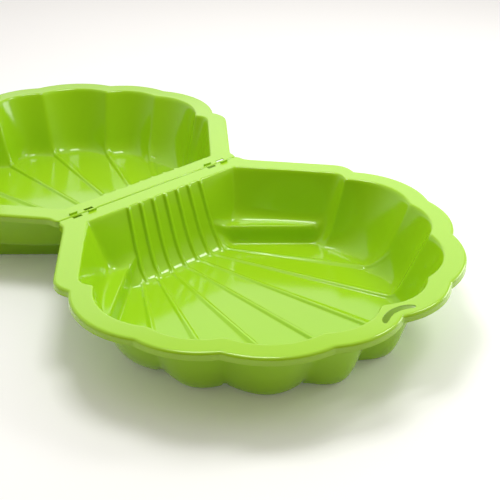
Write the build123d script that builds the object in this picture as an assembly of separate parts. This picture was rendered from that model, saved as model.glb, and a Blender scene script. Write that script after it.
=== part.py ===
from build123d import *
from math import atan2, cos, degrees, hypot, radians, sin, sqrt
import os

os.makedirs("parts", exist_ok=True)

# ---- driving dimensions, millimetres ----
shell_width = 1030.0      # one half, across its widest lobes
shell_depth = 886.0       # one half, hinge edge to the front lobes
height = 190.0            # rim top above the ground
wall = 2.0                # thickness of the moulded skin
rim_width = 55.0          # flat flange between cavity and outer edge
back_rim = 50.0           # flange width along the straight hinge edge
skirt_depth = 18.0        # turned-down edge below the rim top
skirt_round = 5.0         # rounding of the rim's outer edge
hinge_half = 280.0        # half the length of the straight hinge edge
half_gap = 1.0            # half the slit between the two hinge edges
closing_gap = 0.5         # slit between the two rims when closed

side_lead = (-6.8, 70.1)  # from the first notch to the end of the straight side
side_rim = 58.0           # flange width along the straight side
foot_inset_back = 116.0   # side wall's foot, in from the rim's side edge, at the hinge corner
foot_inset_front = 94.0   # the same at the front end of the side
foot_stop = 55.0          # the foot's straight run ends this far before the rim's
back_draft = 60.0         # how far the back wall leans in, rim to floor

# lobes from the side to the front, right half: centre x, centre y, radius,
# drawn in a shell of drawn_width and drawn_depth and moved out with the real one
drawn_width = 1030.0
drawn_depth = 886.0
drawn_rim = [(298, -430, 217), (272, -529, 208), (168, -626, 226), (79, -696, 191)]
drawn_floor = [(232, -387, 159), (267, -511, 97), (178, -618, 103), (72, -692, 84)]
corner_rim = 38.1         # where lobe 1 starts on its circle, degrees
corner_inner = 46.0
corner_floor = 35.5

rib_count = 7
rib_pitch = 39.7          # spacing of the ribs at the rim
rib_pitch_foot = 43.0     # spacing of the ribs at the floor
rib_width = 12.0
rib_depth = 5.0
ridge_width = 20.0
ridge_crest = 12.0
ridge_height = 6.0

seat_height = 50.0
seat_back = 157.0         # seat face foot, measured in from the side edge, at the back
seat_front = 115.0        # the same at the front end of the seat
seat_face_draft = 6.0
seat_start = 20.0         # station of seat_back along the side
seat_stop = 5.0           # the seat stops this far before the end of the straight side

lug_length = 24.0
lug_width = 4.5
lug_near = 5.5            # lug face nearest to the hinge edge, in from that edge
lug_height = 6.0
lug_gap_end = 1.5         # play of a lug in the other half's slot, each end
lug_gap_near = 2.0        # the same towards the hinge edge
lug_gap_far = 3.0         # the same away from it
knuckle_inner = 200.0     # hinge lug and slot stations along the edge
knuckle_outer = 246.0

grip_radius = 74.0        # crescent finger slot, mid line radius
grip_inset = 27.9         # crescent's mid line, in from the rim's front notch
grip_width = 14.0
grip_half_angle = 37.0

ear_reach = 17.0
ear_length = 40.0

stretch_x = shell_width / drawn_width
stretch_y = (shell_depth + half_gap) / (drawn_depth + half_gap)


def moved_out(lobes):
    """Lobes for the real width and depth; the widest and the foremost reach exactly there."""
    k = (stretch_x + stretch_y) / 2
    moved = [(x * stretch_x, y * stretch_y, r * k) for x, y, r in lobes]
    x, y, r = lobes[0]
    moved[0] = ((x + r) * stretch_x - r * k, y * stretch_y, r * k)
    x, y, r = lobes[3]
    moved[3] = (x * stretch_x, (y - r) * stretch_y + r * k, r * k)
    return moved


lobes_rim = moved_out(drawn_rim)
lobes_floor = moved_out(drawn_floor)

# slots follow the lugs that drop into them
slot_length = lug_length + 2 * lug_gap_end
slot_width = lug_width + lug_gap_near + lug_gap_far
slot_near = lug_near - lug_gap_near

# the finger slot follows the notch between the two front lobes
front_notch = lobes_rim[3][1] - sqrt(lobes_rim[3][2] ** 2 - lobes_rim[3][0] ** 2)
grip_centre = front_notch + grip_inset - grip_radius

# the straight side runs from the hinge corner to a point set from the first notch
first_notch = (lobes_rim[0][0] + lobes_rim[0][2] * cos(radians(corner_rim)),
               lobes_rim[0][1] + lobes_rim[0][2] * sin(radians(corner_rim)))
side_end = (first_notch[0] + side_lead[0], first_notch[1] + side_lead[1])
side_length = hypot(side_end[0] - hinge_half, side_end[1])
side_angle = degrees(atan2(-side_end[1], side_end[0] - hinge_half))


def outward(angle):
    """Unit normal of a side line, pointing away from the cavity."""
    return (sin(radians(angle)), cos(radians(angle)))


def side_point(inset, run, angle=side_angle):
    """Point on a side line, moved in by inset, run along it from the hinge edge."""
    nx, ny = outward(angle)
    return (hinge_half + ny * run - nx * inset, -nx * run - ny * inset)


foot_a = side_point(foot_inset_back, 0)
foot_b = side_point(foot_inset_front, side_length - foot_stop)
foot_angle = degrees(atan2(foot_a[1] - foot_b[1], foot_b[0] - foot_a[0]))
foot_inset = -((foot_a[0] - hinge_half) * outward(foot_angle)[0] + foot_a[1] * outward(foot_angle)[1])
foot_length = (foot_b[0] - hinge_half) * outward(foot_angle)[1] - foot_b[1] * outward(foot_angle)[0]
seat_end = side_length - seat_stop


def side_at_y(inset, y, angle):
    nx, ny = outward(angle)
    return ((nx * hinge_half - inset - ny * y) / nx, y)


def meet(c1, c2):
    """Outer crossing of two lobe circles."""
    dx, dy = c2[0] - c1[0], c2[1] - c1[1]
    d = hypot(dx, dy)
    m = (c1[2] ** 2 - c2[2] ** 2 + d * d) / (2 * d)
    h = sqrt(c1[2] ** 2 - m * m)
    p = (c1[0] + dx * m / d, c1[1] + dy * m / d)
    q1 = (p[0] - dy * h / d, p[1] + dx * h / d)
    q2 = (p[0] + dy * h / d, p[1] - dx * h / d)
    return max((q1, q2), key=lambda q: hypot(q[0], q[1] + 380))


def mid_arc(p, q, c):
    """Point half way along the short arc p-q on circle c."""
    vx, vy = (p[0] + q[0]) / 2 - c[0], (p[1] + q[1]) / 2 - c[1]
    k = c[2] / hypot(vx, vy)
    return (c[0] + vx * k, c[1] + vy * k)


def outline(back, side, run, start, circles, grow=0.0, ear=False, angle=side_angle):
    """Closed half-shell outline as a face on z = 0, grown outwards by grow."""
    cs = [(x, y, r + grow) for x, y, r in circles]
    back, side = back - grow, side - grow
    out = outward(angle)
    corner = side_at_y(side, -back, angle)
    turn = side_point(side, run, angle)
    n1 = (cs[0][0] + cs[0][2] * cos(radians(start)), cs[0][1] + cs[0][2] * sin(radians(start)))
    drop = (turn[0] - n1[0]) * out[0] + (turn[1] - n1[1]) * out[1]
    rad = ((turn[0] - n1[0]) ** 2 + (turn[1] - n1[1]) ** 2) / (2 * drop)
    cc = (turn[0] - out[0] * rad, turn[1] - out[1] * rad, rad)
    notches = [n1] + [meet(cs[i], cs[i + 1]) for i in range(3)]
    front = (0.0, cs[3][1] - sqrt(cs[3][2] ** 2 - cs[3][0] ** 2))
    notches.append(front)
    chain = [("line", corner, turn), ("arc", turn, n1, mid_arc(turn, n1, cc))]
    if ear:
        e1 = (hinge_half + ear_reach, -back)
        e2 = side_point(-ear_reach * 0.75, ear_length * 0.5)
        e3 = side_point(side, ear_length)
        chain[0] = ("line", e3, turn)
        chain = [("line", e1, e2), ("line", e2, e3)] + chain
    for i, c in enumerate(cs):
        chain.append(("arc", notches[i], notches[i + 1], mid_arc(notches[i], notches[i + 1], c)))
    flip = lambda p: (-p[0], p[1])
    edges = []
    for s in chain:
        edges.append(Line(s[1], s[2]) if s[0] == "line" else ThreePointArc(s[1], s[3], s[2]))
    for s in reversed(chain):
        edges.append(Line(flip(s[2]), flip(s[1])) if s[0] == "line"
                     else ThreePointArc(flip(s[2]), flip(s[3]), flip(s[1])))
    edges.append(Line(flip(chain[0][1]), chain[0][1]))
    return make_face(Wire(edges))


inner_lobes = [(x, y, r - rim_width) for x, y, r in lobes_rim]


def rim_face():
    return outline(half_gap, 0.0, side_length, corner_rim, lobes_rim, ear=True)


def inner_face(grow):
    return outline(back_rim + half_gap, side_rim, side_length, corner_inner, inner_lobes, grow)


def floor_face(grow):
    return outline(back_rim + back_draft, foot_inset, foot_length, corner_floor, lobes_floor, grow,
                   angle=foot_angle)


def tray(grow, z0, z1):
    low, high = floor_face(grow), inner_face(grow)
    return Solid.make_loft([low.face().outer_wire().moved(Location((0, 0, z0))),
                            high.face().outer_wire().moved(Location((0, 0, z1)))], ruled=True)


def quad_block(low, high, z0, z1):
    return Solid.make_loft([Wire.make_polygon([(x, y, z0) for x, y in low], close=True),
                            Wire.make_polygon([(x, y, z1) for x, y in high], close=True)], ruled=True)


def feet():
    """Where the wall's notches reach the floor, left to right."""
    cs = lobes_floor
    n = [meet(cs[i], cs[i + 1]) for i in range(3)]
    front = (0.0, cs[3][1] - sqrt(cs[3][2] ** 2 - cs[3][0] ** 2))
    right = [n[0], n[1], n[2]]
    return [(-x, y) for x, y in right] + [front] + [right[2], right[1], right[0]]


def ribs_and_ridges(skin):
    """Blocks standing in the cavity (skin = 0) or their hollows underneath (skin = wall)."""
    blocks = []
    half = rib_count // 2
    foot_y = -(back_rim + back_draft)
    top_y = -(back_rim + half_gap)
    z_low, z_top = (-1.0, height - wall) if skin else (wall * 0.5, height)
    for i in range(rib_count):
        k = i - half
        w = rib_width / 2 - skin * 0.9
        d = rib_depth - skin
        xt, xf = k * rib_pitch, k * rib_pitch_foot
        far = 40.0 if skin else 6.0
        low = [(xf - w, foot_y - d), (xf + w, foot_y - d), (xf + w, foot_y + far), (xf - w, foot_y + far)]
        high = [(xt - w, top_y - d), (xt + w, top_y - d), (xt + w, top_y + min(far, 30)), (xt - w, top_y + min(far, 30))]
        if skin:
            high = [(xt - w, top_y - d), (xt + w, top_y - d), (xt + w, top_y + 12), (xt - w, top_y + 12)]
        blocks.append(quad_block(low, high, z_low, z_top))
        tx, ty = feet()[i]
        sx, sy = xf, foot_y + 4
        length = hypot(tx - sx, ty - sy)
        ux, uy = (tx - sx) / length, (ty - sy) / length
        reach = length + 30.0
        crest = ridge_height + wall - skin
        base = ridge_width / 2 - skin * 0.9
        peak = ridge_crest / 2 - skin * 0.9
        lowz = -1.0 if skin else wall * 0.5

        def strip(half_w):
            return [(sx + uy * half_w, sy - ux * half_w), (sx + ux * reach + uy * half_w, sy + uy * reach - ux * half_w),
                    (sx + ux * reach - uy * half_w, sy + uy * reach + ux * half_w), (sx - uy * half_w, sy + ux * half_w)]
        blocks.append(quad_block(strip(base), strip(peak), lowz, crest))
    return blocks


def seats(skin):
    z0, z1 = (-1.0, seat_height - skin) if skin else (wall * 0.5, seat_height)
    reach = -30.0

    def plan(draft):
        b = side_point(seat_back - draft - skin, seat_start)
        f = side_point(seat_front - draft - skin, seat_end - skin)
        g = side_point(reach, seat_end - skin)
        h = side_point(reach, -60)
        m = side_point(seat_back - draft - skin, -60)
        return [b, f, g, h, m]

    def flip(points):
        return [(-x, y) for x, y in reversed(points)]
    return [quad_block(plan(0), plan(seat_face_draft), z0, z1),
            quad_block(flip(plan(0)), flip(plan(seat_face_draft)), z0, z1)]


def grip():
    r0, r1 = grip_radius - grip_width / 2, grip_radius + grip_width / 2
    t = radians(grip_half_angle)
    p = lambda r, u: (r * sin(u), grip_centre + r * cos(u))
    edges = [ThreePointArc(p(r1, -t), p(r1, 0), p(r1, t)),
             ThreePointArc(p(r1, t), p(grip_radius, t + 0.5 * grip_width / grip_radius), p(r0, t)),
             ThreePointArc(p(r0, t), p(r0, 0), p(r0, -t)),
             ThreePointArc(p(r0, -t), p(grip_radius, -t - 0.5 * grip_width / grip_radius), p(r1, -t))]
    return extrude(make_face(Wire(edges)), 30).moved(Location((0, 0, height - 15)))


def half_shell():
    # turned-down rim, rounded along its outer edge
    rim = extrude(rim_face(), skirt_depth).moved(Location((0, 0, height - skirt_depth)))
    top = [e for e in rim.edges() if abs(e.center().Z - height) < 0.01]
    rim = fillet(top, skirt_round)
    under = offset(rim_face(), amount=-wall)
    under = extrude(under, skirt_depth).moved(Location((0, 0, height - skirt_depth - wall)))
    body = tray(wall, 0.0, height)
    for block in ribs_and_ridges(wall) + seats(wall):
        body -= block
    cavity = tray(0.0, wall, height)
    cavity += extrude(inner_face(0.0), 12).moved(Location((0, 0, height)))
    for block in ribs_and_ridges(0) + seats(0):
        cavity -= block
    shell = (rim - under) + body
    shell -= cavity
    for x in (-knuckle_outer, knuckle_inner):
        shell -= Box(slot_length, slot_width, 30).moved(
            Location((x, -half_gap - slot_near - slot_width / 2, height)))
    for x in (-knuckle_inner, knuckle_outer):
        shell += Box(lug_length, lug_width, lug_height + wall).moved(
            Location((x, -half_gap - lug_near - lug_width / 2, height + (lug_height - wall) / 2)))
    shell -= grip()
    return shell


sandbox_shell = half_shell()
print("solids", len(sandbox_shell.solids()), "volume", sandbox_shell.volume / 1000)
print(sandbox_shell.bounding_box(), "hinge axis z", height + closing_gap / 2)
cover_shell = sandbox_shell.rotate(Axis.Z, 180)

for name, shape in (("sandbox_shell", sandbox_shell), ("cover_shell", cover_shell)):
    solid = shape.solid()
    solid.label = name
    export_step(solid, f"parts/{name}.step")
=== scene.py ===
import math
import bpy
import numpy as np
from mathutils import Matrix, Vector


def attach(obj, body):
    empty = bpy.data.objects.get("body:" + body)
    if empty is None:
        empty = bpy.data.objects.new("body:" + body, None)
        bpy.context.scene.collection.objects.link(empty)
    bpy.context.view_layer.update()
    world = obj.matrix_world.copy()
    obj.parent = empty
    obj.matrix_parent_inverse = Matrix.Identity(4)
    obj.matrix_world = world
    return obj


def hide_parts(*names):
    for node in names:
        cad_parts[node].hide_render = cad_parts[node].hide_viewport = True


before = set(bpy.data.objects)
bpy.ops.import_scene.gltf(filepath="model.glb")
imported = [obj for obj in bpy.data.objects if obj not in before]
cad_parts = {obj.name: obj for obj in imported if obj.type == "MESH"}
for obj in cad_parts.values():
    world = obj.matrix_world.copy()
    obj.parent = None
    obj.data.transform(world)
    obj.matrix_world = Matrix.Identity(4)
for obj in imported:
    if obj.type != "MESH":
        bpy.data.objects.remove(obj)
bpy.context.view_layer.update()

# Sizes are millimetres in the part's own frame: hinge edge on Y = 0, tray towards -Y, ground at Z = 0.
# A lobe is a circle: centre X, centre Y and radius. Only the right half is listed, from the side to the front.
# start is the direction in degrees, seen from the first lobe's centre, in which that lobe begins.
lobes = dict(rim=[(298, -430, 217), (272, -529, 208), (168, -626, 226), (79, -696, 191)],
             floor=[(232, -387, 159), (267, -511, 97), (178, -618, 103), (72, -692, 84)])
rim = dict(top=190.0, back=50.0, side=58.0, lobe=55.0, skirt=18.0, round=7.0, backRound=3.2, flare=0.9, flareFrom=0.6,
           hingeHalf=280.0, gap=1.0, angle=51.1, run=290.0, start=38.1, innerStart=46.0, bandStart=40.0, band=18.0,
           edgeBlend=12.0)
ear = dict(reach=17.0, length=40.0)
foot = dict(back=110.0, angle=45.75, inset=115.4, run=225.0, start=35.5, apron=38.0, cornerX=172.0,
            backBlend=100.0, sideBlend=75.0, frontBlend=42.0, blendAt=(-620.0, -480.0, -300.0))
cornerWidth = dict(outer=2.6, band=4.0, mouth=5.5, base=11.0, calm=45.0)
skin = 2.2
middleY = -380.0
ribs = dict(pitch=39.7, footPitch=43.0, rimSpread=1.12, flat=2.2, edge=6.6, depth=5.0)
ridges = dict(flat=4.5, edge=10.5, low=1.8, high=7.0, taper=0.5, lead=4.0)
seat = dict(height=50.0, back=157.0, front=115.0, start=20.0, frontRun=285.0, end=291.0, draft=6.0, edge=11.0,
            cove=34.0, endRound=60.0, backRound=42.0, wallLine=94.0)
slots = dict(stations=(-246.0, 200.0), length=27.0, near=3.5, width=9.5)
lugs = dict(stations=(-200.0, 246.0), length=24.0, width=4.5, near=5.5, height=6.0, sink=1.5)
grip = dict(centre=-916.0, radius=74.0, width=16.0, angle=37.0, blunt=1.04, fullness=6, fade=42.0, columns=22,
            low=0.53, high=0.93, before=(0.035, 0.075, 0.12, 0.18, 0.28, 0.4), between=(0.62, 0.73, 0.84))
# near and fine are column distances from a rib or notch line; the counts are columns per lobe and rows of each part
grid = dict(perLobe=30, floorRows=24, wallRows=48, wallTopRows=6, roundRows=6, skirtRows=4, sharpAngle=70,
            near=(0.0, 2.5, 5.0, 7.5, 10.0, 12.5, 16.0),
            fine=(20.0, 24.5, 29.0, 33.5, 38.0, 42.0, 45.5, 48.0, 50.0, 51.5, 53.0, 58.0))


# Smaller or larger of two heights, blended by a quadratic over the distance k where they are nearly equal.
def smoothMin(a, b, k):
    h = np.clip(k - np.abs(a - b), 0.0, None) / k
    return np.minimum(a, b) - h * h * k / 4.0


def smoothMax(a, b, k):
    return -smoothMin(-a, -b, k)


# 1 inside flat, 0 beyond edge, an S-curve between.
def plateau(distance, flat, edge):
    t = np.clip((edge - distance) / (edge - flat), 0.0, 1.0)
    return t * t * (3.0 - 2.0 * t)


# Unit vectors along a straight side, away from the hinge edge, and out from it.
def sideFrame(angle):
    a = math.radians(angle)
    return np.array([math.cos(a), -math.sin(a)]), np.array([math.sin(a), math.cos(a)])


# Point on the straight side: so far along it from the hinge edge, and so far in from it.
def sidePoint(inset, run, angle=rim["angle"]):
    along, out = sideFrame(angle)
    return np.array([rim["hingeHalf"], 0.0]) + along * run - out * inset


# Outer crossing of two lobe circles, which is the notch between them.
def lobeMeet(a, b):
    pa, pb = np.array(a[:2], float), np.array(b[:2], float)
    d = np.linalg.norm(pb - pa)
    m = (a[2] ** 2 - b[2] ** 2 + d * d) / (2 * d)
    h = math.sqrt(a[2] ** 2 - m * m)
    u = (pb - pa) / d
    mid = pa + u * m
    choices = [mid + h * np.array([-u[1], u[0]]), mid - h * np.array([-u[1], u[0]])]
    return max(choices, key=lambda q: np.hypot(q[0], q[1] - middleY))


# Even points on the arc about a centre from p, the short way round, to the direction of q.
def arcPoints(p, q, centre, steps):
    a0 = math.atan2(p[1] - centre[1], p[0] - centre[0])
    a1 = math.atan2(q[1] - centre[1], q[0] - centre[0])
    turn = (a1 - a0 + math.pi) % (2 * math.pi) - math.pi
    a = a0 + turn * np.linspace(0, 1, steps)
    r = np.hypot(p[0] - centre[0], p[1] - centre[1])
    return np.stack([centre[0] + r * np.cos(a), centre[1] + r * np.sin(a)], 1)


# Even points on the straight line from p to q.
def linePoints(p, q, steps=200):
    return np.array(p) + (np.array(q) - np.array(p)) * np.linspace(0, 1, steps)[:, None]


# The right half of a closed outline as its pieces: half the back edge, the straight side that ends in an arc, and four
# lobes.
def outlinePieces(backY, inset, run, start, circles, angle, withEar=False):
    out = sideFrame(angle)[1]
    n1 = np.array([circles[0][0] + circles[0][2] * math.cos(math.radians(start)),
                   circles[0][1] + circles[0][2] * math.sin(math.radians(start))])
    turn = sidePoint(inset, run, angle)
    drop = float(np.dot(turn - n1, out))
    radius = float(np.dot(turn - n1, turn - n1)) / (2 * drop)
    bend = arcPoints(turn, n1, turn - out * radius, 80)
    if withEar:
        corner = np.array([rim["hingeHalf"] + ear["reach"] - inset, -backY])
        knee = sidePoint(inset - ear["reach"] * 0.75, ear["length"] * 0.5)
        root = sidePoint(inset, ear["length"])
        side = np.concatenate([linePoints(corner, knee, 30), linePoints(knee, root, 30)[1:],
                               linePoints(root, turn)[1:], bend[1:]])
    else:
        corner = np.array([(out[0] * rim["hingeHalf"] - inset - out[1] * -backY) / out[0], -backY])
        side = np.concatenate([linePoints(corner, turn), bend[1:]])
    notches = [n1] + [lobeMeet(circles[i], circles[i + 1]) for i in range(3)]
    last = circles[3]
    notches.append(np.array([0.0, last[1] - math.sqrt(last[2] ** 2 - last[0] ** 2)]))
    arcs = [arcPoints(notches[i], notches[i + 1], circles[i], 200) for i in range(4)]
    return dict(back=linePoints([0.0, -backY], corner), side=side, arcs=arcs, notches=notches)


# The rim's outline moved in by one distance at the back, another at the sides and another at the lobes.
def rimPieces(backY, inset, lobeInset, start, withEar=False):
    circles = [(x, y, r - lobeInset) for x, y, r in lobes["rim"]]
    return outlinePieces(backY, inset, rim["run"], start, circles, rim["angle"], withEar)


# Even 0.5 mm steps along a polyline.
def evenSteps(points):
    s = np.concatenate([[0], np.cumsum(np.hypot(*np.diff(points, axis=0).T))])
    n = max(8, int(s[-1] / 0.5))
    t = np.linspace(0, s[-1], n + 1)
    return np.stack([np.interp(t, s, points[:, 0]), np.interp(t, s, points[:, 1])], 1), s[-1]


# A closed outline walked clockwise from the left back corner: back, right side, eight lobes, left side.
# Its corners are rounded by averaging neighbours with a bell-shaped weight of the given width in millimetres.
def closedOutline(pieces, width):
    flip = np.array([-1.0, 1.0])
    back = np.concatenate([pieces["back"][::-1] * flip, pieces["back"][1:]])
    runs = [back, pieces["side"]] + pieces["arcs"] + [a[::-1] * flip for a in reversed(pieces["arcs"])]
    runs.append(pieces["side"][::-1] * flip)
    dense, marks = [], [0.0]
    for run in runs:
        points, length = evenSteps(run)
        dense.append(points[:-1])
        marks.append(marks[-1] + length)
    points = np.concatenate(dense)
    reach = int(width * 2 * 3)
    weights = np.exp(-0.5 * (np.arange(-reach, reach + 1) * 0.5 / width) ** 2)
    weights /= weights.sum()
    padded = np.concatenate([points[-reach:], points, points[:reach]])
    smooth = np.stack([np.convolve(padded[:, k], weights, mode="valid") for k in range(2)], 1)
    at = np.concatenate([np.linspace(marks[i], marks[i + 1], len(dense[i]) + 1)[:-1] for i in range(len(dense))])
    return dict(points=smooth, at=at, marks=marks, length=marks[-1])


# Points of a closed outline at distances s along it, in a straight line between its own points.
def sampleOutline(outline, s):
    at = np.concatenate([outline["at"], [outline["length"]]])
    pts = np.concatenate([outline["points"], outline["points"][:1]])
    s = np.mod(s, outline["length"])
    return np.stack([np.interp(s, at, pts[:, 0]), np.interp(s, at, pts[:, 1])], 1)


# Outward normal of an outline, from two points 0.6 mm to either side.
def outlineNormal(outline, s):
    a, b = sampleOutline(outline, s - 0.6), sampleOutline(outline, s + 0.6)
    d = (b - a) / np.linalg.norm(b - a, axis=1)[:, None]
    return np.stack([-d[:, 1], d[:, 0]], 1)


# Column stations from one rib or notch line to the next: close together near both, even between.
def lineStations(length):
    near = np.array(grid["near"])
    middle = np.linspace(near[-1], length - near[-1], grid["perLobe"] + 3 - 2 * len(near))[1:-1]
    return np.concatenate([near, middle, (length - near)[::-1]])


# The same on a lobe beside the middle line, with finer columns where the crescent ends.
def gripStations(length, middleFirst):
    near, fine = np.array(grid["near"]), np.array(grid["fine"])
    rest = np.linspace(fine[-1], length - near[-1], grid["perLobe"] + 3 - 2 * len(near) - len(fine))[1:-1]
    stations = np.concatenate([near, fine, rest, (length - near)[::-1]])
    return stations if middleFirst else (length - stations)[::-1]


# Arc positions of every column of the ring on one outline, in ring order.
def ringStations(outline, backX):
    marks = outline["marks"]
    half = (marks[1] - marks[0]) / 2
    parts = [backX + half]
    parts.append(np.linspace(marks[1], marks[2], grid["floorRows"] + 1)[1:])
    for k in range(8):
        length = marks[3 + k] - marks[2 + k]
        stations = gripStations(length, k == 4) if k in (3, 4) else lineStations(length)
        parts.append(marks[2 + k] + stations[1:])
    parts.append(np.linspace(marks[10], marks[11], grid["floorRows"] + 1)[1:-1])
    return np.concatenate(parts)


# X of the back columns: one rib line per front notch, close together at each rib; ends on the corners.
def backStations(pitch, cornerX):
    lines = [-cornerX] + [pitch * k for k in range(-3, 4)] + [cornerX]
    out = [np.array([-cornerX])]
    for k in range(8):
        out.append(lines[k] + lineStations(lines[k + 1] - lines[k])[1:])
    return np.concatenate(out)


# Moves the nearest back columns onto the ends of the hinge slots, and returns the end columns of each slot.
def snapToSlots(columnX):
    slotColumns = []
    for station in slots["stations"]:
        ends = []
        for x in (station - slots["length"] / 2, station + slots["length"] / 2):
            i = int(np.argmin(np.abs(columnX - x)))
            columnX[i] = x
            ends.append(i)
        inside = np.arange(ends[0], ends[1] + 1)
        columnX[inside] = np.linspace(columnX[ends[0]], columnX[ends[1]], len(inside))
        slotColumns.append(ends)
    return slotColumns


# Height of the ridge fan on the floor at plan points p: each ridge grows wider and higher on its way to the front.
def ridgeHeight(p, feet):
    z = np.zeros(len(p))
    for k, end in zip(range(-3, 4), feet):
        start = np.array([ribs["footPitch"] * k, ridges["lead"] - foot["back"]])
        length = np.linalg.norm(end - start)
        along = (end - start) / length
        rel = p - start
        across = np.abs(rel[:, 0] * along[1] - rel[:, 1] * along[0])
        t = np.clip(rel @ along / length, 0.0, 1.0)
        width = ridges["taper"] + (1.0 - ridges["taper"]) * t
        height = ridges["low"] + (ridges["high"] - ridges["low"]) * t
        z = np.maximum(z, height * plateau(across / width, ridges["flat"], ridges["edge"]))
    return z


# Height of the corner seats: a steep face that rounds into the back wall and round its front end, under a level top.
def seatHeight(p):
    q = np.stack([np.abs(p[:, 0]), p[:, 1]], 1)
    along, out = sideFrame(rim["angle"])
    rel = q - np.array([rim["hingeHalf"], 0.0])
    inset, run = -(rel @ out), rel @ along
    line = seat["back"] + (seat["front"] - seat["back"]) * (run - seat["start"]) / (seat["frontRun"] - seat["start"])
    inside = smoothMin(line - inset, seat["end"] - run, seat["endRound"])
    inside = smoothMax(inside, q[:, 1] + seat["wallLine"], seat["backRound"])
    face = skin + inside * seat["height"] / seat["draft"]
    return smoothMin(face, np.full(len(p), seat["height"] + skin), seat["edge"])


# Rows across the rim, from the tray's mouth to the band inside the rim's edge. The crescent's two edges are arcs about
# one centre. Its half width is multiplied by the root of blunt less the sixth power of the share of its angle, so that
# it narrows at its ends. Columns beside it lean towards its tips, and open out again to their own even spacing.
def rimRows(mouthRow, bandRow, centreColumn):
    column = np.arange(len(mouthRow))
    low, high = grip["low"], grip["high"]
    across = (mouthRow[:, 0] + bandRow[:, 0]) / 2
    bendEnd = math.radians(grip["angle"]) + grip["width"] / 2 / grip["radius"]
    reachX = grip["radius"] * math.sin(bendEnd)
    nearCentre = np.abs(column - centreColumn) <= grip["columns"]
    inside = np.where(nearCentre & (np.abs(across) < reachX))[0]
    ends = (int(inside.min()), int(inside.max()))
    phi = bendEnd * across[inside] / np.abs(across[inside]).max()
    halfWide = grip["width"] / 2 * np.sqrt(grip["blunt"] - (phi / bendEnd) ** grip["fullness"])
    onArc = lambda r: np.stack([r * np.sin(phi), grip["centre"] + r * np.cos(phi)], 1)
    topArc, bottomArc = onArc(grip["radius"] + halfWide), onArc(grip["radius"] - halfWide)

    tips = onArc(grip["radius"])[[0, -1]]
    tipMouth, tipSpan = mouthRow[list(ends)], (bandRow - mouthRow)[list(ends)]
    share = ((tips - tipMouth) * tipSpan).sum(1) / (tipSpan ** 2).sum(1)
    shift = tips - tipMouth - tipSpan * share[:, None]
    ease = np.clip((np.abs(across) - reachX) / grip["fade"], 0, 1)
    ease = np.where(nearCentre, ease * ease * (3 - 2 * ease), 1.0)
    atEnd = np.mean(share)
    lowShare, highShare = atEnd + (low - atEnd) * ease, atEnd + (high - atEnd) * ease
    nearerEnd = (ends[1] - column < column - ends[0]).astype(int)
    lean = shift[nearerEnd] * (1 - ease)[:, None]
    rows = []
    for t in grip["before"] + (low,) + grip["between"] + (high, 1.0):
        if t < low:
            u = hold = t / low
            f, a, b = lowShare * u, mouthRow[inside], topArc
        elif t <= high:
            u, hold = (t - low) / (high - low), 1.0
            f, a, b = lowShare + (highShare - lowShare) * u, topArc, bottomArc
        else:
            u = (t - high) / (1 - high)
            f, a, b, hold = highShare + (1 - highShare) * u, bottomArc, bandRow[inside], 1 - u
        row = mouthRow + (bandRow - mouthRow) * f[:, None] + lean * hold
        row[inside] = a + (b - a) * u
        rows.append(row)
    return rows, ends


# Heights of the ring's wall and rim rows: the larger of the ridged floor, the leaning wall with its ribs and the seats,
# cut off level at the rim. The cove at the wall's foot is widest along the back and tightest under the front lobes.
def ringHeights(plan, footRow, mouthRow, isBack, feet):
    rise = rim["top"] - skin
    span = mouthRow - footRow
    length2 = (span ** 2).sum(1)
    q = ((plan - footRow) * span).sum(2) / length2
    wallZ = skin + rise * q
    ribColumn = np.zeros(plan.shape[:2])
    for k in range(-3, 4):
        line = k * (ribs["footPitch"] + (ribs["pitch"] - ribs["footPitch"]) * np.clip(q, 0, 1))
        ribColumn = np.maximum(ribColumn, plateau(np.abs(plan[:, :, 0] - line), ribs["flat"], ribs["edge"]))
    wallZ += ribColumn * isBack * ribs["depth"] * rise / np.sqrt(length2)
    flat = plan.reshape(-1, 2)
    blends = [foot["frontBlend"], foot["sideBlend"], foot["sideBlend"], foot["backBlend"]]
    cove = np.interp(footRow[:, 1], list(foot["blendAt"]) + [-foot["back"]], blends)
    z = smoothMax(skin + ridgeHeight(flat, feet), wallZ.reshape(-1), np.tile(cove, len(plan)))
    z = smoothMax(z, seatHeight(flat), seat["cove"])
    return smoothMin(z, np.full(len(z), rim["top"]), rim["edgeBlend"]).reshape(plan.shape[:2])


# Half the cross product of a face's diagonals: its area along its normal.
def faceArea(points, quads):
    p = points[quads]
    return 0.5 * np.cross(p[:, 2] - p[:, 0], p[:, 3] - p[:, 1])


# Closes a surface into a shell: the same points moved along their normals by the skin thickness, joined to the first
# ones round the outer edge and round each hole. Points that no face uses are dropped.
def thicken(points, top, index, holes):
    normal = np.zeros_like(points)
    area = faceArea(points, top)
    for k in range(4):
        np.add.at(normal, top[:, k], area)
    normal /= np.maximum(np.linalg.norm(normal, axis=1), 1e-9)[:, None]
    normal[:, 2] = np.abs(normal[:, 2])  # every part of the upper surface faces up
    under = points - normal * skin
    total = len(points)
    loops = [index[-1]]
    for r0, r1, c0, c1 in holes:
        loops.append(np.concatenate([index[r0, c0:c1], index[r0:r1, c1], index[r1, c1:c0:-1], index[r1:r0:-1, c0]]))
    sides = []
    for loop in loops:
        after = np.roll(loop, -1)
        sides.append(np.stack([loop, after, after + total, loop + total], 1))
    allFaces = np.concatenate([top, top[:, ::-1] + total] + sides)
    used, packed = np.unique(allFaces, return_inverse=True)
    return np.concatenate([points, under])[used], packed.reshape(allFaces.shape)


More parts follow.
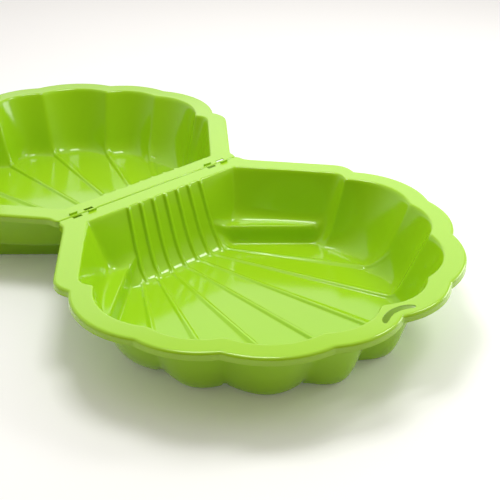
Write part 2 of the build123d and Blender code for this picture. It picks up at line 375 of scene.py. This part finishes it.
# One half shell. Plan: a fan of columns from the back wall's foot to the front lobes' foot covers the floor. A ring of
# columns carries on out from its edge up the walls, across the rim, round its outer edge and down the skirt.
def halfShell():
    outer = closedOutline(rimPieces(rim["gap"], 0.0, 0.0, rim["start"], True), cornerWidth["outer"])
    band = closedOutline(rimPieces(rim["gap"] + rim["band"], rim["band"], rim["band"], rim["bandStart"], True),
                         cornerWidth["band"])
    mouth = closedOutline(rimPieces(rim["gap"] + rim["back"], rim["side"], rim["lobe"], rim["innerStart"]),
                          cornerWidth["mouth"])
    footPieces = outlinePieces(foot["back"], foot["inset"], foot["run"], foot["start"], lobes["floor"], foot["angle"])
    base = closedOutline(footPieces, cornerWidth["base"])
    calm = closedOutline(footPieces, cornerWidth["calm"])

    cornerOf = lambda outline: (outline["marks"][1] - outline["marks"][0]) / 2
    outerX = backStations(ribs["pitch"] * ribs["rimSpread"], cornerOf(outer))
    slotColumns = snapToSlots(outerX)
    # the band's columns run straight back to the edge, and draw in only beyond the outermost slot end
    last = np.abs(slots["stations"]).max() + slots["length"] / 2
    bandX = np.interp(outerX, [-cornerOf(outer), -last, last, cornerOf(outer)],
                      [-cornerOf(band), -last, last, cornerOf(band)])
    baseS = ringStations(base, backStations(ribs["footPitch"], cornerOf(base)))
    mouthS = ringStations(mouth, backStations(ribs["pitch"], cornerOf(mouth)))
    bandS, outerS = ringStations(band, bandX), ringStations(outer, outerX)
    footRow, mouthRow, bandRow = sampleOutline(base, baseS), sampleOutline(mouth, mouthS), sampleOutline(band, bandS)
    outerRow, outward = sampleOutline(outer, outerS), outlineNormal(outer, outerS)

    # the ring starts on the floor, ahead of the wall's foot by the apron, so that the coved foot lies all in the ring
    ns, nt = 8 * grid["perLobe"], grid["floorRows"]
    start = footRow - outlineNormal(calm, baseS) * foot["apron"]
    backX = backStations(ribs["footPitch"], foot["cornerX"])
    start[:ns + 1] = np.stack([backX, np.full(ns + 1, -foot["back"] - foot["apron"])], 1)
    t = np.linspace(0, 1, nt + 1)[1:-1, None]
    start[ns + 1:ns + nt] = start[ns] + (start[ns + nt] - start[ns]) * t
    start[2 * ns + nt + 1:] = start[2 * ns + nt] + (start[0] - start[2 * ns + nt]) * t
    count = len(start)
    isBack = np.zeros(count)
    isBack[:ns + 1] = 1.0
    right = footPieces["notches"][1:4]
    feet = [n * np.array([-1, 1]) for n in right] + [footPieces["notches"][4]] + right[::-1]

    # plan of the ring's rows: wall, rim with the crescent, edge band with the slots
    topRows = grid["wallTopRows"]
    fractions = np.concatenate([np.linspace(0, 0.9, grid["wallRows"] - topRows, endpoint=False),
                                np.linspace(0.9, 1.0, topRows + 1)])
    rows = [start + (mouthRow - start) * f for f in fractions]
    gripLow = len(rows) + len(grip["before"])
    gripHigh = gripLow + len(grip["between"]) + 1
    across, gripEnds = rimRows(mouthRow, bandRow, ns + nt + ns // 2)
    rows += across
    roundness = rim["round"] + (rim["backRound"] - rim["round"]) * isBack
    roundness = np.convolve(np.concatenate([roundness[-3:], roundness, roundness[:3]]), np.ones(7) / 7, mode="valid")
    roundness[:ns + 1] = rim["backRound"]
    lip = outerRow - outward * roundness[:, None]
    reach = rim["band"] - roundness
    farEdge = np.where(isBack > 0, rim["band"] - slots["near"] - slots["width"], reach * 0.3) / reach
    nearEdge = np.where(isBack > 0, rim["band"] - slots["near"], reach * 0.85) / reach
    slotFar = len(rows)
    for f in (farEdge, farEdge + (nearEdge - farEdge) / 3, farEdge + (nearEdge - farEdge) * 2 / 3, nearEdge):
        rows.append(bandRow + (lip - bandRow) * f[:, None])
    slotNear = len(rows) - 1
    plan = np.stack(rows)
    z = ringHeights(plan, footRow, mouthRow, isBack, feet)
    ring = [np.column_stack([plan[r], z[r]]) for r in range(len(plan))]

    # outer rounding and skirt
    for a in np.linspace(0, math.pi / 2, grid["roundRows"] + 1):
        xy = outerRow + outward * (roundness * (math.sin(a) - 1))[:, None]
        ring.append(np.column_stack([xy, rim["top"] - roundness * (1 - math.cos(a))]))
    for t in np.linspace(0, 1, grid["skirtRows"] + 1)[1:]:
        drop = roundness + (rim["skirt"] - roundness) * t
        flare = rim["flare"] * max(0.0, t - rim["flareFrom"]) / (1 - rim["flareFrom"])
        ring.append(np.column_stack([outerRow + outward * flare, rim["top"] - drop]))
    ring = np.stack(ring)

    # floor fan, level with the ring where they meet
    back = start[:ns + 1]
    front = start[ns + nt:2 * ns + nt + 1][::-1]
    fan = back[None] + (front - back)[None] * np.linspace(0, 1, nt + 1)[:, None, None]
    fan[1:nt, ns] = start[ns + 1:ns + nt]
    fan[1:nt, 0] = start[2 * ns + nt + 1:][::-1]
    flat = fan.reshape(-1, 2)
    floor = np.column_stack([flat, smoothMax(skin + ridgeHeight(flat, feet), seatHeight(flat), seat["cove"])])
    border = np.concatenate([np.arange(ns + 1), (np.arange(1, nt + 1) * (ns + 1)) + ns,
                             nt * (ns + 1) + np.arange(ns - 1, -1, -1), np.arange(nt - 1, 0, -1) * (ns + 1)])
    floor[border, 2] = ring[0][:, 2]
    points = np.concatenate([floor, ring[1:].reshape(-1, 3)])
    index = np.concatenate([[border], len(floor) + np.arange((len(ring) - 1) * count).reshape(-1, count)])

    r, c = np.meshgrid(np.arange(nt), np.arange(ns), indexing="ij")
    a = (r * (ns + 1) + c).ravel()
    fanFaces = np.stack([a, a + 1, a + ns + 2, a + ns + 1], 1)
    keep = np.ones((len(index) - 1, count), bool)
    holes = [(slotFar, slotNear, c0, c1) for c0, c1 in slotColumns] + [(gripLow, gripHigh) + gripEnds]
    for r0, r1, c0, c1 in holes:
        keep[r0:r1, c0:c1] = False
    r, c = np.nonzero(keep)
    n = (c + 1) % count
    ringFaces = np.stack([index[r + 1, c], index[r + 1, n], index[r, n], index[r, c]], 1)
    top = np.concatenate([fanFaces, ringFaces])
    top = top[:, ::-1] if faceArea(points, top)[:, 2].sum() < 0 else top
    return thicken(points, top, index, holes)


# A smooth-shaded object in the scene from a mesh with its faces in place.
def placeMesh(name, mesh, material):
    mesh.polygons.foreach_set("use_smooth", np.ones(len(mesh.polygons), bool))
    mesh.materials.append(material)
    obj = bpy.data.objects.new(name, mesh)
    bpy.context.scene.collection.objects.link(obj)
    return obj


# A mesh object from points in millimetres and four-cornered faces, with edges sharper than an angle left crisp.
def meshObject(name, points, quads, material, sharp):
    mesh = bpy.data.meshes.new(name)
    mesh.vertices.add(len(points))
    mesh.vertices.foreach_set("co", (points / 1000.0).astype(np.float32).ravel())
    mesh.loops.add(len(quads) * 4)
    mesh.loops.foreach_set("vertex_index", quads.astype(np.int32).ravel())
    mesh.polygons.add(len(quads))
    mesh.polygons.foreach_set("loop_start", np.arange(0, len(quads) * 4, 4, dtype=np.int32))
    mesh.update(calc_edges=True)
    mesh.validate()
    obj = placeMesh(name, mesh, material)
    mesh.set_sharp_from_angle(angle=math.radians(sharp))
    return obj


# A block with rounded edges: each coordinate is a power of the sine or cosine of latitude and longitude.
def roundedBlock(centre, size, power=0.22, rows=16, columns=40):
    lat = np.linspace(-math.pi / 2, math.pi / 2, rows + 1)[1:-1]
    lon = np.linspace(0, 2 * math.pi, columns, endpoint=False)
    bend = lambda v: np.sign(v) * np.abs(v) ** power
    x = bend(np.cos(lat))[:, None] * bend(np.cos(lon))[None]
    y = bend(np.cos(lat))[:, None] * bend(np.sin(lon))[None]
    z = bend(np.sin(lat))[:, None] * np.ones_like(lon)[None]
    body = np.stack([x, y, z], 2).reshape(-1, 3)
    points = np.concatenate([body, [[0, 0, -1], [0, 0, 1]]]) * np.array(size) / 2 + np.array(centre)
    r, c = np.meshgrid(np.arange(rows - 2), np.arange(columns), indexing="ij")
    a, b = (r * columns + c).ravel(), (r * columns + (c + 1) % columns).ravel()
    polygons = [tuple(f) for f in np.stack([a, b, b + columns, a + columns], 1).tolist()]
    south, north, topRow = len(body), len(body) + 1, len(body) - columns
    polygons += [(south, (k + 1) % columns, k) for k in range(columns)]
    polygons += [(north, topRow + k, topRow + (k + 1) % columns) for k in range(columns)]
    return points, polygons


# An sRGB colour as red, green, blue and alpha in linear light.
def linear(code):
    values = [int(code[i:i + 2], 16) / 255 for i in (1, 3, 5)]
    return [v / 12.92 if v <= 0.04045 else ((v + 0.055) / 1.055) ** 2.4 for v in values] + [1.0]


def addNode(tree, kind, inputs=None, **settings):
    node = tree.nodes.new(kind)
    for key, value in settings.items():
        setattr(node, key, value)
    for key, value in (inputs or {}).items():
        if isinstance(value, bpy.types.NodeSocket):
            tree.links.new(value, node.inputs[key])
        else:
            node.inputs[key].default_value = value
    return node


# Injection-moulded polyethylene: dyed through, glossy from the tool's polish and slightly see-through, so light glows
# in it. Colour and sheen drift over about 290 mm. The grain is about 2.4 mm, coarser than the real one so that it shows.
plastic = dict(colour="#9ACA1A", deep="#97C718", drift=3.5, grain=420.0, sheenLow=0.11, sheenHigh=0.13, bump=0.02,
               bumpDepth=0.0003, glow=0.06, glowDepth=0.004, glowColour=(0.7, 1.0, 0.2), ior=1.51)


def mouldedPolyethylene(name, look):
    material = bpy.data.materials.new(name)
    material.use_nodes = True
    tree = material.node_tree
    tree.nodes.clear()
    place = addNode(tree, "ShaderNodeTexCoord").outputs["Object"]
    broad = addNode(tree, "ShaderNodeTexNoise", {"Vector": place, "Scale": look["drift"], "Detail": 3.0})
    fine = addNode(tree, "ShaderNodeTexNoise", {"Vector": place, "Scale": look["grain"], "Detail": 2.0})
    tone = addNode(tree, "ShaderNodeMix", {"Factor": broad.outputs["Fac"], "A": linear(look["colour"]),
                                           "B": linear(look["deep"])}, data_type="RGBA")
    rough = addNode(tree, "ShaderNodeMapRange", {"Value": broad.outputs["Fac"], "From Min": 0.3, "From Max": 0.7,
                                                 "To Min": look["sheenLow"], "To Max": look["sheenHigh"]})
    bump = addNode(tree, "ShaderNodeBump", {"Height": fine.outputs["Fac"], "Strength": look["bump"],
                                            "Distance": look["bumpDepth"]})
    shader = addNode(tree, "ShaderNodeBsdfPrincipled", {
        "Base Color": tone.outputs["Result"], "Roughness": rough.outputs["Result"], "Normal": bump.outputs["Normal"],
        "Subsurface Weight": look["glow"], "Subsurface Scale": look["glowDepth"],
        "Subsurface Radius": look["glowColour"], "IOR": look["ior"]})
    addNode(tree, "ShaderNodeOutputMaterial", {"Surface": shader.outputs["BSDF"]})
    return material


green = mouldedPolyethylene("moulded polyethylene, lime green", plastic)
turns = dict(sandbox=1.0, cover=-1.0)  # the cover is the same half, turned half a turn about the vertical

points, quads = halfShell()
for body, turn in turns.items():
    shell = meshObject(f"{body}Shell", points * np.array([turn, turn, 1.0]), quads, green, grid["sharpAngle"])
    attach(shell, body)
    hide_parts(f"{body}_shell")
print("stage shells", len(points), len(quads))

for body, turn in turns.items():
    for i, station in enumerate(lugs["stations"]):
        centre = (station, -rim["gap"] - lugs["near"] - lugs["width"] / 2,
                  rim["top"] + (lugs["height"] - lugs["sink"]) / 2)
        block, polygons = roundedBlock(centre, (lugs["length"], lugs["width"], lugs["height"] + lugs["sink"]))
        name = f"{body}Lug{i + 1}"
        mesh = bpy.data.meshes.new(name)
        mesh.from_pydata((block * np.array([turn, turn, 1.0]) / 1000.0).tolist(), [], polygons)
        lug = placeMesh(name, mesh, green)
        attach(lug, body)
print("stage lugs")

studio = dict(floor="#F2F2F0", roughness=0.85, glow="#FFFFFF", glowStrength=0.08, half=14, drop=0.0005)
paint = bpy.data.materials.new("painted studio floor")
paint.use_nodes = True
paintInputs = paint.node_tree.nodes["Principled BSDF"].inputs
paintInputs["Base Color"].default_value = linear(studio["floor"])
paintInputs["Roughness"].default_value = studio["roughness"]
paintInputs["Emission Color"].default_value = linear(studio["glow"])
paintInputs["Emission Strength"].default_value = studio["glowStrength"]
floorMesh = bpy.data.meshes.new("studioFloor")
corners = [(x * studio["half"], y * studio["half"], -studio["drop"]) for x, y in ((-1, -1), (1, -1), (1, 1), (-1, 1))]
floorMesh.from_pydata(corners, [], [(0, 1, 2, 3)])
floorMesh.materials.append(paint)
floorObject = bpy.data.objects.new("studioFloor", floorMesh)
bpy.context.scene.collection.objects.link(floorObject)
print("stage floor")

# The room is bright behind and above the object and falls off, a little warmer, on the camera's side.
room = dict(bright="#FFFFFF", dim="#FFC888", brightStrength=0.84, dimStrength=0.10, towards=(-0.62, -0.68, -0.39),
            fallFrom=-0.35, fallTo=0.75)
world = bpy.data.worlds.new("studio")
bpy.context.scene.world = world
world.use_nodes = True
sky = world.node_tree
sky.nodes.clear()
direction = addNode(sky, "ShaderNodeTexCoord").outputs["Generated"]
facing = addNode(sky, "ShaderNodeVectorMath", {0: direction, 1: room["towards"]}, operation="DOT_PRODUCT")
fall = addNode(sky, "ShaderNodeMapRange", {"Value": facing.outputs["Value"], "From Min": room["fallFrom"],
                                           "From Max": room["fallTo"]}, interpolation_type="SMOOTHSTEP")
tint = addNode(sky, "ShaderNodeMix", {"Factor": fall.outputs["Result"], "A": linear(room["bright"]),
                                      "B": linear(room["dim"])}, data_type="RGBA")
level = addNode(sky, "ShaderNodeMapRange", {"Value": fall.outputs["Result"], "To Min": room["brightStrength"],
                                            "To Max": room["dimStrength"]})
glow = addNode(sky, "ShaderNodeBackground", {"Color": tint.outputs["Result"], "Strength": level.outputs["Result"]})
addNode(sky, "ShaderNodeOutputWorld", {"Surface": glow.outputs["Background"]})

# Soft panels, in metres and watts.
panels = dict(
    overheadSoftbox=dict(place=(0.1, 0.0, 2.3), target=(0.0, -0.3, 0.1), size=(0.85, 0.7), energy=24),
    sideSoftbox=dict(place=(1.45, -0.95, 1.9), target=(0.0, -0.3, 0.05), size=(0.5, 0.6), energy=13),
    rightPanel=dict(place=(2.6, -1.3, 0.7), target=(0.0, -0.5, 0.1), size=(1.2, 1.0), energy=19),
    backPanel=dict(place=(1.78, 1.53, 1.45), target=(0.0, -0.4, 0.1), size=(2.6, 1.2), energy=7))
for name, panel in panels.items():
    lamp = bpy.data.lights.new(name, "AREA")
    lamp.shape = "RECTANGLE"
    lamp.size, lamp.size_y = panel["size"]
    lamp.energy = panel["energy"]
    light = bpy.data.objects.new(name, lamp)
    light.location = panel["place"]
    light.rotation_euler = (Vector(panel["target"]) - Vector(panel["place"])).to_track_quat("-Z", "Y").to_euler()
    bpy.context.scene.collection.objects.link(light)
print("stage lights")

# Camera: 28.9 degrees above the horizon, 42.6 degrees to the left of straight in front.
view = dict(azimuth=-42.57, elevation=28.88, target=(-0.0443, -0.4325, 0.19), distance=2.5306, lens=76.66, sensor=36.0)
az, el = math.radians(view["azimuth"]), math.radians(view["elevation"])
backward = Vector((math.sin(az) * math.cos(el), -math.cos(az) * math.cos(el), math.sin(el)))
camera = bpy.data.objects.new("camera", bpy.data.cameras.new("camera"))
camera.data.lens, camera.data.sensor_width = view["lens"], view["sensor"]
camera.location = Vector(view["target"]) + backward * view["distance"]
camera.rotation_euler = (-backward).to_track_quat("-Z", "Y").to_euler()
bpy.context.scene.collection.objects.link(camera)
bpy.context.scene.camera = camera
bpy.context.scene.view_settings.view_transform = "Standard"
print("stage camera")
